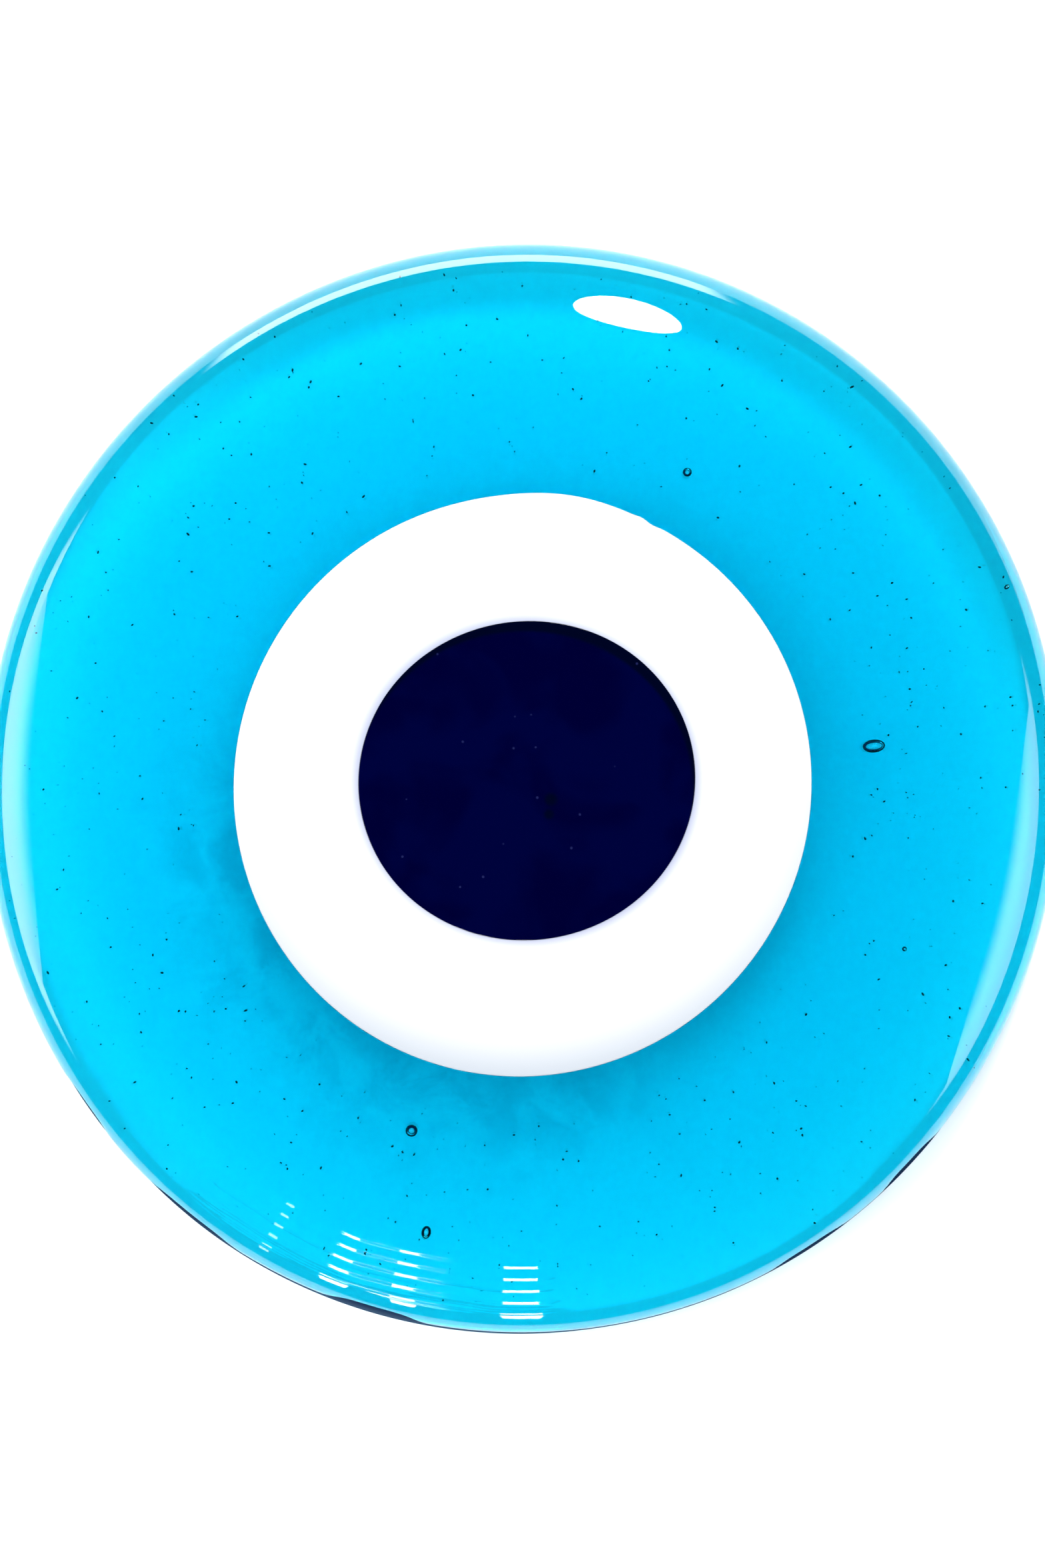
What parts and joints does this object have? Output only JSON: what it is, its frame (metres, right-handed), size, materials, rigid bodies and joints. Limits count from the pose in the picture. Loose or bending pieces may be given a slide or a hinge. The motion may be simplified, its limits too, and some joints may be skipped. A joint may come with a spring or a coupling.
{
  "type": "evil eye ornament",
  "caption": "Flat round glass evil eye: a domed turquoise base with a white opal iris and a dark cobalt pupil sunk into its face, made to lie on its flat back.",
  "frame": {"origin": "centre of the flat back that the disc lies on", "axes": "+Z out of the face, square to the flat back; +Y towards the top of the eye; +X to the right of someone who looks at the face"},
  "size_m": [0.11, 0.11, 0.0104],
  "materials": {
    "turquoise_glass": "gloss",
    "opal_glass": "gloss",
    "cobalt_glass": "gloss"
  },
  "bodies": {
    "root": {"turquoise_base": "turquoise_glass", "white_iris": "opal_glass", "cobalt_pupil": "cobalt_glass"}
  },
  "joints": []
}
